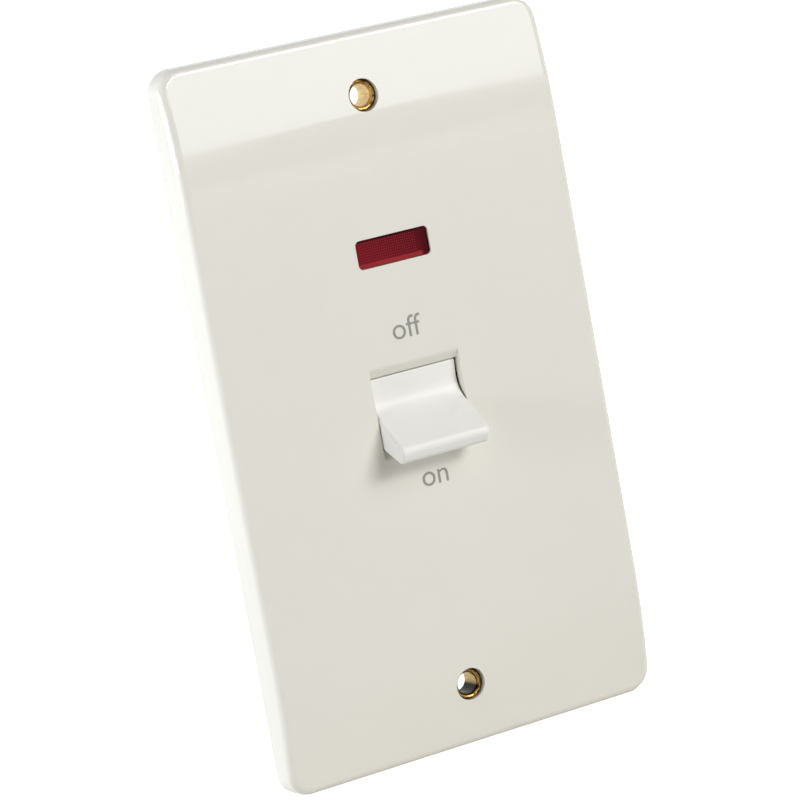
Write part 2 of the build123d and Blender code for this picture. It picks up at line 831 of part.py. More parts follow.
# Lamp holder: a trough behind the lens with two ears and two cradles for the lamp
with BuildPart() as lamp_holder:
    with BuildSketch(front(holder_rear)):
        with Locations((0, window_centre)):
            Rectangle(lens_flange_width, lens_flange_height)
    extrude(amount=holder_depth)
    with BuildSketch(front(holder_ear_rear)):
        with Locations((0, window_centre)):
            Rectangle(lens_flange_width + 2 * holder_ear_reach, holder_ear_width)
    extrude(amount=holder_ear_thickness)
    with BuildSketch(front(holder_ear_rear)):
        with Locations((0, window_centre)):
            with GridLocations(2 * holder_pin_offset, 0, 2, 1):
                Circle(holder_pin_radius + holder_pin_fit)
    extrude(amount=holder_ear_thickness, mode=Mode.SUBTRACT)
    with BuildSketch(front(holder_floor)):
        with Locations((0, window_centre)):
            Rectangle(lens_flange_width - 2 * holder_wall, lens_flange_height - 2 * holder_wall)
    extrude(amount=holder_floor - holder_front, mode=Mode.SUBTRACT)
    with BuildSketch(front(holder_floor)):
        with Locations((0, window_centre)):
            with GridLocations(cradle_spacing, 0, 2, 1):
                Rectangle(cradle_wall, lens_flange_height - 2 * holder_wall)
    extrude(amount=holder_floor - lamp_y)
    with Locations((0, lamp_y, window_centre)):
        Cylinder(cradle_radius, cradle_spacing + 2 * cradle_wall, rotation=(0, 90, 0), mode=Mode.SUBTRACT)
    with BuildSketch(Plane.XY.offset(window_centre - lens_flange_height / 2)):
        with Locations((lead_across, lamp_y)):
            Circle(lead_radius + lead_hole_gap)
    extrude(amount=holder_wall, mode=Mode.SUBTRACT)
    with BuildSketch(front(holder_rear)):
        with Locations((lead_across, upper_lead_height)):
            Circle(lead_radius + lead_hole_gap)
    extrude(amount=holder_wall, mode=Mode.SUBTRACT)
keep(lamp_holder, "lamp_holder")

# Neon lamp: a round-ended glass bulb with a flat pinch where the wires come out
with BuildPart() as neon_lamp:
    with Locations((lamp_start + lamp_radius, lamp_y, window_centre)):
        Sphere(lamp_radius)
        Cylinder(lamp_radius, lamp_length - lamp_radius, rotation=(0, 90, 0), align=lamp_align)
    with Locations((lamp_end - pinch_length, lamp_y, window_centre)):
        Box(pinch_length, pinch_thickness, pinch_width, align=(Align.MIN, Align.CENTER, Align.CENTER))
keep(neon_lamp, "neon_lamp")

# Dropper resistor, held behind the lamp by its wires
with BuildPart() as lamp_resistor:
    with Locations((0, lead_rear, upper_lead_height)):
        Cylinder(resistor_radius, resistor_length, rotation=(0, 90, 0))
    fillet(lamp_resistor.edges().filter_by(GeomType.CIRCLE), resistor_fillet)
keep(lamp_resistor, "lamp_resistor")

# Lamp leads: one from the lamp to a load terminal, one to the resistor and on to the other terminal
lead_routes = (
    (
        (lamp_end, lamp_y, lower_lead_height),
        (lead_across, lamp_y, lower_lead_height),
        (lead_across, lamp_y, lead_landing),
        (lead_across, terminal_front, lead_landing),
    ),
    (
        (lamp_end, lamp_y, upper_lead_height),
        (lead_across, lamp_y, upper_lead_height),
        (lead_across, lead_rear, upper_lead_height),
        (resistor_length / 2, lead_rear, upper_lead_height),
    ),
    (
        (-resistor_length / 2, lead_rear, upper_lead_height),
        (-terminal_offset, lead_rear, upper_lead_height),
        (-terminal_offset, lead_rear, lead_landing),
        (-terminal_offset, terminal_front, lead_landing),
    ),
)
lead_bends = ((lead_small_bend, lead_bend), (lead_small_bend, lead_bend), (lead_bend, lead_bend))
with BuildPart() as lamp_leads:
    for route, bends in zip(lead_routes, lead_bends):
        with BuildLine():
            wire_path = FilletPolyline(*route, radius=bends)
        with BuildSketch(Plane(origin=wire_path @ 0, z_dir=wire_path % 0)):
            Circle(lead_radius)
        sweep(path=wire_path)
keep(lamp_leads, "lamp_leads")

# Earth strap under the lower eyelet, and the earth terminal that stands on it
with BuildPart() as earth_strap:
    strap_top = earth_height + earth_length / 2
    strap_foot = -fixing_height - strap_end_run
    with BuildSketch(front(strap_rear)):
        with Locations((0, (strap_top + strap_foot) / 2)):
            Rectangle(strap_width, strap_top - strap_foot)
        with Locations((0, -fixing_height)):
            Circle(fixing_bore_radius + eyelet_wall + eyelet_fit, mode=Mode.SUBTRACT)
    extrude(amount=strap_thickness)
keep(earth_strap, "earth_strap")

cable_terminal(
    "earth_terminal",
    (0, earth_height),
    strap_rear + earth_depth,
    (earth_width, earth_length, earth_depth),
    earth_bore_radius,
    earth_bore_y,
    earth_screw_radius + terminal_screw_fit,
)
slotted_screws(
    "earth_screw",
    [(0, earth_height)],
    earth_bore_y + earth_bore_radius + terminal_screw_clear,
    strap_rear + earth_depth + screw_head_lift,
    earth_screw_radius,
    earth_head_radius,
    earth_head_height,
)
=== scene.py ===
import json
from math import radians

import bmesh
import bpy
from mathutils import Matrix, Vector


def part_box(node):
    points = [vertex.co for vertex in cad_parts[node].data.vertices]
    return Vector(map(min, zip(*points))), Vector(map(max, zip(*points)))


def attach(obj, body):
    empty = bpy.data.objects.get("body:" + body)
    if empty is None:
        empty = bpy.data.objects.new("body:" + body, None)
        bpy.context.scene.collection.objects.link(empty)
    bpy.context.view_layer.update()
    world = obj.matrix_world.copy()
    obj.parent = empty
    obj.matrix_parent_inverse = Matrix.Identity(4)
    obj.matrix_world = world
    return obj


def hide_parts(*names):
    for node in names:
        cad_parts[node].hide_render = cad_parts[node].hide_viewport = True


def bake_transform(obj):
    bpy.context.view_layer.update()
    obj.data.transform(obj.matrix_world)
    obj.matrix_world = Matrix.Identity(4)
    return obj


# A double pole switch on a tall moulded plate, standing on a white table, seen from its left front.
# Metres, in the frame of the solids: +Z up the plate, +X to the right, and the face looks to -Y.
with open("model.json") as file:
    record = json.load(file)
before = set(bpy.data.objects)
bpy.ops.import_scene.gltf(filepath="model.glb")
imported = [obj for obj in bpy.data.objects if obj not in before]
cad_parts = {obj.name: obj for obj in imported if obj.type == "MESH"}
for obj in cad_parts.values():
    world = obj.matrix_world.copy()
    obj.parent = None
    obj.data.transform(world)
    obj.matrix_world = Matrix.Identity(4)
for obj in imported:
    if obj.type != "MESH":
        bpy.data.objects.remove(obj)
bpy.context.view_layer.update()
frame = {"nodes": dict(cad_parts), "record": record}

millimetre = 0.001
quarter_turn = radians(90)
white = (1, 1, 1, 1)
clear = (0, 0, 0, 0)

# Levels: the foot of the plate, its face and the front of the lens
plate_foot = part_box("front_plate")[0].z
face_level = -7.2 * millimetre
lens_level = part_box("neon_lens")[0].y

# Printed words
print_height = 0.03 * millimetre
word_size = 6.2 * millimetre
off_middle = Vector((-0.5, 0, 13.7)) * millimetre
on_middle = Vector((0.15, 0, -17.2)) * millimetre
ink_run = ((0.0, (0.24, 0.23, 0.205, 1)), (1.0, (0.33, 0.32, 0.29, 1)))

# Lens: painted light and shade in a slow change across it, a painted bright strip along its foot, a painted
# dark right end and a painted shadow along its right and upper edges
window_low = Vector((-8.18, 0, 26.82)) * millimetre
window_high = Vector((8.18, 0, 32.38)) * millimetre
window_middle = (window_low + window_high) / 2
lens_red = (0.15, 0.008, 0.014, 1)
lens_cloud = (0.105, 0.005, 0.009, 1)
# Painted light and shade: the lens is lighter to the lower left and darker to the upper right
painted_light_slant = Vector((-0.073, 0, -0.09)) / millimetre
painted_slant_reach = 0.55
painted_shade_dimmest = 0.74
painted_light_brightest = 1.36
# Painted highlight: a bright strip along the lens's foot, standing for light caught inside the lens
painted_strip_red = (0.31, 0.027, 0.033, 1)
painted_strip_top = window_low.z + 0.9 * millimetre
painted_strip_fade = 0.3 * millimetre
# Painted shade: the lens's right end is darker, standing for its shaded side wall
painted_shade_end_red = (0.078, 0.004, 0.008, 1)
painted_shade_end_start = window_high.x - 1.9 * millimetre
painted_shade_end_fade = 0.6 * millimetre
# Painted shadow: a darker band along the lens's right and upper edges, where the window's edge shades it
painted_shadow_red = (0.02, 0.001, 0.003, 1)
painted_shadow_width = 0.6 * millimetre

# Dots on the lens
dot_pitch = 0.5 * millimetre
dot_radius = 0.15 * millimetre
dot_height = 0.06 * millimetre
dot_columns = 26
dot_rows = 8
dot_middle = Vector((-1.1, 0, 30.0)) * millimetre
dot_sides = 8
dot_rings = 4

# Eyelets: where the polished bore meets the rim, which is tarnished in patches with painted shade at its
# edges, and how a painted shadow darkens the lower one's bore downwards
eyelet_low, eyelet_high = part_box("upper_eyelet")
eyelet_height = (eyelet_low.z + eyelet_high.z) / 2
bore_edge = 2.25 * millimetre
bore_fade = 0.3 * millimetre
# Painted shadow: the lower eyelet's bore darkens towards its foot
bore_shadow = (0.012, 0.008, 0.004, 1)
bore_shadow_fade = 1.0 * millimetre
rim_edge = (eyelet_high.x - eyelet_low.x) / 2
rim_patches = 0.3
# Rim colours: tarnish in random patches, with painted shade near black at the rim's outer edge and dark at
# its inner fold
rim_tarnish_and_painted_shade = (
    (0.0, (0.035, 0.016, 0.004, 1)),
    (0.3, (0.36, 0.2, 0.05, 1)),
    (0.55, (0.08, 0.04, 0.01, 1)),
    (1.0, (0.012, 0.006, 0.002, 1)),
)

# Springs: how close two corners of a coil's faces are to be one
weld_reach = 0.001 * millimetre

# Resistor: where along its length each painted band starts, and its colour
resistor_low, resistor_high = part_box("lamp_resistor")
band_width = 0.08
bands = (
    (0.16, (0.42, 0.02, 0.015)),
    (0.31, (0.42, 0.02, 0.015)),
    (0.46, (0.62, 0.44, 0.03)),
    (0.74, (0.3, 0.19, 0.05)),
)

# Plastics, with the depth of their ripple in millimetres
plastic_ior = 1.52
plastics = {
    "plate_plastic": dict(
        colour=(0.76, 0.73, 0.65), cloud=(0.74, 0.71, 0.625),
        gloss=0.1, spread=0.03, depth=0.002,
    ),
    "rocker_plastic": dict(
        colour=(0.85, 0.83, 0.78), cloud=(0.83, 0.805, 0.75),
        gloss=0.28, spread=0.04, depth=0.003, shine=0.14,
    ),
    # Lens dots: the lens's red made brighter, a painted highlight where the dots catch the light
    "lens_dot_painted_highlight": dict(
        colour=(0.26, 0.016, 0.026), cloud=(0.18, 0.009, 0.015), amount=0.7,
        gloss=0.3, spread=0.1, depth=0.001, shine=0.1,
    ),
    "base_plastic": dict(
        colour=(0.022, 0.022, 0.023), cloud=(0.034, 0.033, 0.032), amount=0.8,
        gloss=0.42, spread=0.16, depth=0.02, scale=1500.0,
    ),
    "holder_plastic": dict(
        colour=(0.66, 0.65, 0.61), cloud=(0.6, 0.585, 0.54), amount=0.6,
        gloss=0.38, spread=0.12, depth=0.012, scale=1200.0,
    ),
    "nylon": dict(
        colour=(0.7, 0.68, 0.61), cloud=(0.63, 0.61, 0.53), amount=0.6,
        gloss=0.36, spread=0.1, depth=0.008, scale=1300.0,
    ),
    "resistor_coat": dict(
        colour=(0.42, 0.27, 0.15), cloud=(0.36, 0.22, 0.12), amount=0.6,
        gloss=0.32, spread=0.1, depth=0.012, scale=1500.0,
    ),
    "lead_sleeve": dict(
        colour=(0.6, 0.58, 0.53), cloud=(0.53, 0.51, 0.46), amount=0.6,
        gloss=0.35, spread=0.1, depth=0.01, scale=1500.0,
    ),
}

# Metals, with the way that their fine lines run and the depth of those in millimetres
lines_across_height = (1.0, 1.0, 14.0)
lines_across_width = (14.0, 1.0, 1.0)
lines_along_depth = (6.0, 1.0, 6.0)
metals = {
    "brass": dict(
        colour=(0.80, 0.60, 0.27), tarnish=(0.42, 0.27, 0.10), amount=0.45,
        polish=0.14, spread=0.16, stretch=lines_across_height, depth=0.002,
    ),
    "copper": dict(
        colour=(0.82, 0.45, 0.29), tarnish=(0.36, 0.17, 0.10), amount=0.5,
        polish=0.2, spread=0.2, stretch=lines_across_width, depth=0.003,
    ),
    "silver": dict(
        colour=(0.86, 0.85, 0.82), tarnish=(0.45, 0.42, 0.37), amount=0.35,
        polish=0.2, spread=0.2, stretch=lines_along_depth, depth=0.002,
    ),
    "steel": dict(
        colour=(0.66, 0.66, 0.66), tarnish=(0.42, 0.40, 0.36), amount=0.4,
        polish=0.22, spread=0.2, stretch=lines_along_depth, depth=0.003,
    ),
}

# Table and room: how white they are to the camera, in reflections and as a light
table_reach = 6.0
table_colour = (0.77, 0.76, 0.73, 1)
table_glow = 0.8
mirrored_glow = 0.5
shadow_reach = 0.45
room_light = 0.02

# Lights: where each box stands, the point that it looks at, its width, height, power and tint
plate_middle = (0.0, 0.0, 0.0)
cool_white = (0.97, 0.985, 1.0)
clean_white = (1.0, 1.0, 1.0)
soft_boxes = {
    "key_box": ((1.425, -3.075, 1.695), plate_middle, 1.65, 0.75, 55.5, cool_white),
    "right_box": ((2.175, -2.475, 1.95), plate_middle, 1.2, 1.35, 27.0, cool_white),
    "top_box": ((1.35, -2.4, 2.7), plate_middle, 1.5, 1.2, 13.5, clean_white),
    "front_box": ((1.0, -2.2, 0.59), (0.0, 0.0, 0.59), 1.2, 0.8, 11.4, (0.92, 0.95, 1.0)),
    "left_box": ((-1.6, 0.8, 0.3), plate_middle, 0.4, 1.0, 28.5, (0.87, 0.94, 1.0)),
    "side_box": ((-1.6, -0.2, 0.25), plate_middle, 0.25, 0.5, 11.5, (0.9, 0.93, 1.0)),
    "back_box": ((1.5, 1.2, 1.0), plate_middle, 0.6, 0.6, 12.0, clean_white),
}

# Camera, as the photograph was taken
camera_aim = Vector((-4.645, -7.2, -0.259)) * millimetre
camera_distance = 0.750385
camera_turn = radians(27.683)
camera_lift = radians(8.963)
camera_roll = radians(-10.38)
camera_lens = 170.253
camera_near = 0.01


def add_object(name, data):
    """A new object in the scene."""
    thing = bpy.data.objects.new(name, data)
    bpy.context.scene.collection.objects.link(thing)
    return thing


def plain_mesh(maker, name):
    """The mesh that a text or a modifier makes. The object that made it is removed."""
    mesh = bpy.data.meshes.new_from_object(maker.evaluated_get(bpy.context.evaluated_depsgraph_get()))
    bpy.data.objects.remove(maker)
    mesh.name = name
    return mesh


def feed(tree, entry, value):
    """Give an input another node's output to read, or else a plain value."""
    if isinstance(value, bpy.types.NodeSocket):
        tree.links.new(value, entry)
    else:
        entry.default_value = value


def add_node(tree, kind, values=None, **settings):
    """A node of a kind, with its settings and what its inputs read or hold."""
    node = tree.nodes.new(kind)
    for name, value in settings.items():
        setattr(node, name, value)
    for name, value in (values or {}).items():
        feed(tree, node.inputs[name], value)
    return node


def arithmetic(tree, operation, *numbers):
    """What an operation makes of some numbers."""
    return add_node(tree, "ShaderNodeMath", dict(enumerate(numbers)), operation=operation).outputs[0]


def vector_arithmetic(tree, operation, *vectors):
    """What an operation makes of some vectors: a number for a length or a dot product, else a vector."""
    node = add_node(tree, "ShaderNodeVectorMath", dict(enumerate(vectors)), operation=operation)
    return node.outputs["Value" if operation in ("LENGTH", "DOT_PRODUCT") else "Vector"]


def mapped(tree, value, start, end, low=0.0, high=1.0):
    """A value that goes from low to high while another goes from start to end, and is held beyond them."""
    limits = {"From Min": start, "From Max": end, "To Min": low, "To Max": high}
    return add_node(tree, "ShaderNodeMapRange", {"Value": value, **limits}).outputs[0]


def noise(tree, place, scale, detail, roughness=0.5):
    """A soft random value over the surface."""
    values = {"Vector": place, "Scale": scale, "Detail": detail, "Roughness": roughness}
    return add_node(tree, "ShaderNodeTexNoise", values).outputs[0]


def mix_colour(tree, mask, below, above, blend_type="MIX"):
    """One colour over another, where a mask lets it show."""
    node = add_node(tree, "ShaderNodeMix", data_type="RGBA", blend_type=blend_type)
    entries = {entry.identifier: entry for entry in node.inputs}
    results = {result.identifier: result for result in node.outputs}
    feed(tree, entries["Factor_Float"], mask)
    feed(tree, entries["A_Color"], below)
    feed(tree, entries["B_Color"], above)
    return results["Result_Color"]


def colour_run(tree, value, stops, interpolation="LINEAR"):
    """A run of colours along a value, from stops that each have a position and a colour."""
    node = add_node(tree, "ShaderNodeValToRGB", {0: value})
    node.color_ramp.interpolation = interpolation
    run = node.color_ramp.elements
    run.remove(run[1])
    run[0].position, run[0].color = stops[0]
    for position, colour in stops[1:]:
        run.new(position).color = colour
    return node.outputs


def object_place(tree):
    """The place on the piece."""
    return add_node(tree, "ShaderNodeTexCoord").outputs["Object"]


def split_place(tree, place):
    """The three numbers of a place."""
    return add_node(tree, "ShaderNodeSeparateXYZ", {0: place}).outputs


def finish_group(name, entries):
    """An empty group for a finish, with named inputs, and what its start gives and its end takes."""
    group = bpy.data.node_groups.new(name, "ShaderNodeTree")
    for entry, kind, value in entries:
        socket = group.interface.new_socket(entry, in_out="INPUT", socket_type=kind)
        socket.default_value = value
    for result, kind in (
        ("Colour", "NodeSocketColor"),
        ("Roughness", "NodeSocketFloat"),
        ("Height", "NodeSocketFloat"),
    ):
        group.interface.new_socket(result, in_out="OUTPUT", socket_type=kind)
    start = group.nodes.new("NodeGroupInput")
    end = group.nodes.new("NodeGroupOutput")
    return group, start.outputs, end.inputs


def moulded_skin():
    """Moulded plastic: faint clouds in the colour, uneven gloss and a fine ripple."""
    group, start, end = finish_group(
        "moulded_skin",
        (
            ("Colour", "NodeSocketColor", (0.8, 0.8, 0.8, 1)),
            ("Cloud Colour", "NodeSocketColor", (0.7, 0.7, 0.7, 1)),
            ("Cloud Amount", "NodeSocketFloat", 0.3),
            ("Gloss", "NodeSocketFloat", 0.2),
            ("Gloss Spread", "NodeSocketFloat", 0.06),
            ("Ripple Scale", "NodeSocketFloat", 700.0),
        ),
    )
    place = object_place(group)
    clouds = noise(group, place, scale=45.0, detail=3.0, roughness=0.55)
    share = arithmetic(group, "MULTIPLY", clouds, start["Cloud Amount"])
    feed(group, end["Colour"], mix_colour(group, share, start["Colour"], start["Cloud Colour"]))

    smears = noise(group, place, scale=130.0, detail=4.0, roughness=0.6)
    centred = arithmetic(group, "SUBTRACT", smears, 0.5)
    gloss = arithmetic(group, "MULTIPLY_ADD", centred, start["Gloss Spread"], start["Gloss"])
    feed(group, end["Roughness"], gloss)

    feed(group, end["Height"], noise(group, place, start["Ripple Scale"], detail=2.0))
    return group


def drawn_metal():
    """Drawn or turned metal: fine lines along one way, spots of tarnish and uneven polish."""
    group, start, end = finish_group(
        "drawn_metal",
        (
            ("Colour", "NodeSocketColor", (0.8, 0.6, 0.3, 1)),
            ("Tarnish Colour", "NodeSocketColor", (0.4, 0.26, 0.12, 1)),
            ("Tarnish Amount", "NodeSocketFloat", 0.3),
            ("Polish", "NodeSocketFloat", 0.25),
            ("Polish Spread", "NodeSocketFloat", 0.15),
            ("Line Stretch", "NodeSocketVector", (1.0, 1.0, 12.0)),
        ),
    )
    place = object_place(group)
    spots = noise(group, place, scale=260.0, detail=6.0, roughness=0.62)
    edged = mapped(group, spots, 0.45, 0.72)
    share = arithmetic(group, "MULTIPLY", edged, start["Tarnish Amount"])
    feed(group, end["Colour"], mix_colour(group, share, start["Colour"], start["Tarnish Colour"]))

    stretched = vector_arithmetic(group, "MULTIPLY", place, start["Line Stretch"])
    lines = noise(group, stretched, scale=520.0, detail=5.0, roughness=0.65)
    polish = arithmetic(group, "MULTIPLY_ADD", lines, start["Polish Spread"], start["Polish"])
    feed(group, end["Roughness"], polish)
    feed(group, end["Height"], lines)
    return group


def new_material(name, values):
    """A material with one Principled shader, and its constant values set on the shader's sockets."""
    material = bpy.data.materials.new(name)
    material.use_nodes = True
    tree = material.node_tree
    shader = tree.nodes["Principled BSDF"]
    for socket, value in values.items():
        shader.inputs[socket].default_value = value
    return material, tree, shader


def add_finish(tree, group, values):
    """A finish group placed in a material with its own values."""
    return add_node(tree, "ShaderNodeGroup", values, node_tree=group).outputs


def dress(tree, shader, group, values, depth):
    """Give a shader the colour and roughness of a finish group, and its height as a bump."""
    finish = add_finish(tree, group, values)
    bump = add_node(tree, "ShaderNodeBump", {"Strength": 1.0, "Distance": depth, "Height": finish["Height"]})
    feed(tree, shader.inputs["Base Color"], finish["Colour"])
    feed(tree, shader.inputs["Roughness"], finish["Roughness"])
    feed(tree, shader.inputs["Normal"], bump.outputs["Normal"])


def plastic(skin, name, colour, cloud, gloss, spread, depth, scale=700.0, amount=0.35, shine=0.5):
    """A moulded plastic of its own colour and gloss."""
    material, tree, shader = new_material(name, {"IOR": plastic_ior, "Specular IOR Level": shine})
    values = {
        "Colour": (*colour, 1),
        "Cloud Colour": (*cloud, 1),
        "Cloud Amount": amount,
        "Gloss": gloss,
        "Gloss Spread": spread,
        "Ripple Scale": scale,
    }
    dress(tree, shader, skin, values, depth * millimetre)
    return material


def metal(drawn, name, colour, tarnish, amount, polish, spread, stretch, depth):
    """A metal of its own colour, with its lines along one way."""
    material, tree, shader = new_material(name, {"Metallic": 1.0})
    values = {
        "Colour": (*colour, 1),
        "Tarnish Colour": (*tarnish, 1),
        "Tarnish Amount": amount,
        "Polish": polish,
        "Polish Spread": spread,
        "Line Stretch": stretch,
    }
    dress(tree, shader, drawn, values, depth * millimetre)
    return material


def lamp_glass(skin):
    """Warm clear glass of the neon lamp."""
    material, tree, shader = new_material("lamp_glass", {"Transmission Weight": 1.0, "IOR": 1.5})
    values = {"Colour": (0.95, 0.82, 0.74, 1), "Cloud Colour": (0.9, 0.72, 0.62, 1), "Gloss": 0.05}
    dress(tree, shader, skin, values, 0.002 * millimetre)
    return material


def red_lens(skin):
    """Deep red lens, with painted light to the lower left, a painted bright strip along its foot, painted
    shade at its right end and a painted shadow along its right and upper edges.
    """
    material, tree, shader = new_material("red_lens", {"IOR": 1.49, "Specular IOR Level": 0.03})
    values = {"Colour": lens_red, "Cloud Colour": lens_cloud, "Cloud Amount": 0.6, "Gloss": 0.16}
    finish = add_finish(tree, skin, values)
    place = object_place(tree)
    split = split_place(tree, place)
    # Painted light and shade: lighter to the lower left, darker to the upper right
    painted_slant = vector_arithmetic(tree, "DOT_PRODUCT", place, painted_light_slant)
    painted_dim_end = painted_light_slant.dot(window_middle) - painted_slant_reach
    painted_bright_end = painted_light_slant.dot(window_middle) + painted_slant_reach
    painted_lightness = mapped(tree, painted_slant, painted_dim_end, painted_bright_end, painted_shade_dimmest, painted_light_brightest)
    painted_slant_colour = mix_colour(tree, 1.0, finish["Colour"], painted_lightness, "MULTIPLY")
    # Painted highlight: foot masks the bright strip along the lens's foot
    foot = mapped(tree, split["Z"], painted_strip_top + painted_strip_fade / 2, painted_strip_top - painted_strip_fade / 2)
    with_painted_strip = mix_colour(tree, foot, painted_slant_colour, painted_strip_red)
    # Painted shade: end masks the darker right end of the lens
    end = mapped(tree, split["X"], painted_shade_end_start, painted_shade_end_start + painted_shade_end_fade)
    with_painted_dark_end = mix_colour(tree, end, with_painted_strip, painted_shade_end_red)
    # Painted shadow along the lens's right and upper edges
    painted_right_shadow = mapped(tree, split["X"], window_high.x - painted_shadow_width, window_high.x)
    painted_upper_shadow = mapped(tree, split["Z"], window_high.z - painted_shadow_width, window_high.z)
    painted_edge_shadow = arithmetic(tree, "MAXIMUM", painted_right_shadow, painted_upper_shadow)
    feed(tree, shader.inputs["Base Color"], mix_colour(tree, painted_edge_shadow, with_painted_dark_end, painted_shadow_red))
    feed(tree, shader.inputs["Roughness"], finish["Roughness"])
    return material


def eyelet_brass(drawn):
    """Brass of the eyelets, polished in the bore, tarnished in patches on the rim with painted shade at its
    edges, and with a painted shadow in the foot of the lower one.
    """
    material, tree, shader = new_material("eyelet_brass", {"Metallic": 1.0})
    values = {
        "Colour": (0.74, 0.53, 0.23, 1),
        "Tarnish Colour": (0.36, 0.22, 0.07, 1),
        "Tarnish Amount": 0.5,
        "Polish": 0.16,
        "Polish Spread": 0.24,
    }
    finish = add_finish(tree, drawn, values)
    place = object_place(tree)
    folded = vector_arithmetic(tree, "ABSOLUTE", place)
    centred = vector_arithmetic(tree, "SUBTRACT", folded, (0, 0, eyelet_height))
    radius = vector_arithmetic(tree, "LENGTH", vector_arithmetic(tree, "MULTIPLY", centred, (1, 0, 1)))
    patches = noise(tree, place, scale=900.0, detail=4.0, roughness=0.6)
    uneven = mapped(tree, patches, 0.35, 0.65, -rim_patches, rim_patches)
    # Rim: tarnish in patches, plus painted shade at its inner and outer edges
    wear_and_painted_shade = arithmetic(tree, "ADD", mapped(tree, radius, bore_edge, rim_edge), uneven)
    rim = colour_run(tree, wear_and_painted_shade, rim_tarnish_and_painted_shade)["Color"]
    # Painted shadow: foot masks the lower eyelet's bore darkening downwards, and bore carries it
    foot = mapped(tree, split_place(tree, place)["Z"], -eyelet_height, -eyelet_height - bore_shadow_fade)
    bore = mix_colour(tree, foot, finish["Colour"], bore_shadow)
    turned = mapped(tree, radius, bore_edge, bore_edge + bore_fade)
    feed(tree, shader.inputs["Base Color"], mix_colour(tree, turned, bore, rim))
    feed(tree, shader.inputs["Roughness"], finish["Roughness"])
    return material


def paint_bands(coat):
    """Paint the bands round the resistor over its plain coat."""
    tree = coat.node_tree
    base = tree.nodes["Principled BSDF"].inputs["Base Color"]
    plain = base.links[0].from_socket
    along = mapped(tree, split_place(tree, object_place(tree))["X"], resistor_low.x, resistor_high.x)
    stops = [(0.0, clear)]
    for start, colour in bands:
        stops.append((start, (*colour, 1)))
        stops.append((start + band_width, clear))
    paint = colour_run(tree, along, stops, "CONSTANT")
    feed(tree, base, mix_colour(tree, paint["Alpha"], plain, paint["Color"]))


def make_materials():
    """One finish for each material slot of the record, and one each for the eyelets and the lens's dots."""
    skin = moulded_skin()
    drawn = drawn_metal()
    materials = {
        "lens_red": red_lens(skin),
        "lamp_glass": lamp_glass(skin),
        "eyelet_brass": eyelet_brass(drawn),
    }
    for name, look in plastics.items():
        materials[name] = plastic(skin, name, **look)
    for name, look in metals.items():
        materials[name] = metal(drawn, name, **look)
    paint_bands(materials["resistor_coat"])
    return materials


def paint_solids(materials):
    """Give every solid the finish of its slot in the record, and the eyelets their own brass."""
    for subpart in frame["record"]["subparts"]:
        solid = frame["nodes"][subpart["node"]]
        solid.data.materials.clear()
        slot = "eyelet_brass" if subpart["node"].endswith("_eyelet") else subpart["material_slot"]
        solid.data.materials.append(materials[slot])


def coil_springs():
    """The plungers' springs, each a copy of its solid with the corners of its faces welded, shown in place of
    the solid.
    """
    for side in ("left", "right"):
        solid = frame["nodes"][f"{side}_spring"]
        mesh = solid.data.copy()
        mesh.name = f"{side}_coil"
        faces = bmesh.new()
        faces.from_mesh(mesh)
        bmesh.ops.remove_doubles(faces, verts=faces.verts, dist=weld_reach)
        faces.to_mesh(mesh)
        faces.free()
        coil = add_object(f"{side}_coil", mesh)
        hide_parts(solid.name)
        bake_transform(coil)


def dot_grid():
    """Tree for a grid of low round dots, turned upright to face forwards, around a point."""
    tree = bpy.data.node_groups.new("dot_grid", "GeometryNodeTree")
    inputs = {}
    for name, kind in (
        ("Columns", "NodeSocketInt"),
        ("Rows", "NodeSocketInt"),
        ("Pitch", "NodeSocketFloat"),
        ("Radius", "NodeSocketFloat"),
        ("Height", "NodeSocketFloat"),
        ("Middle", "NodeSocketVector"),
        ("Finish", "NodeSocketMaterial"),
    ):
        inputs[name] = tree.interface.new_socket(name, in_out="INPUT", socket_type=kind).identifier
    tree.interface.new_socket("Geometry", in_out="OUTPUT", socket_type="NodeSocketGeometry")
    start = tree.nodes.new("NodeGroupInput").outputs
    end = tree.nodes.new("NodeGroupOutput").inputs

    sizes = {}
    for count, axis in (("Columns", "X"), ("Rows", "Y")):
        gaps = arithmetic(tree, "SUBTRACT", start[count], 1.0)
        sizes[f"Size {axis}"] = arithmetic(tree, "MULTIPLY", gaps, start["Pitch"])
        sizes[f"Vertices {axis}"] = start[count]
    grid = add_node(tree, "GeometryNodeMeshGrid", sizes).outputs["Mesh"]
    ball_sizes = {"Segments": dot_sides, "Rings": dot_rings, "Radius": 1.0}
    ball = add_node(tree, "GeometryNodeMeshUVSphere", ball_sizes).outputs["Mesh"]
    flattening = {"X": start["Radius"], "Y": start["Radius"], "Z": start["Height"]}
    flattened = add_node(tree, "ShaderNodeCombineXYZ", flattening).outputs[0]
    placing = {"Points": grid, "Instance": ball, "Scale": flattened}
    dots = add_node(tree, "GeometryNodeInstanceOnPoints", placing).outputs[0]
    turning = {"Geometry": dots, "Translation": start["Middle"], "Rotation": (quarter_turn, 0, 0)}
    upright = add_node(tree, "GeometryNodeTransform", turning).outputs[0]
    real = add_node(tree, "GeometryNodeRealizeInstances", {0: upright}).outputs[0]
    smooth = add_node(tree, "GeometryNodeSetShadeSmooth", {0: real}).outputs[0]
    finishing = {"Geometry": smooth, "Material": start["Finish"]}
    feed(tree, end[0], add_node(tree, "GeometryNodeSetMaterial", finishing).outputs[0])
    return tree, inputs


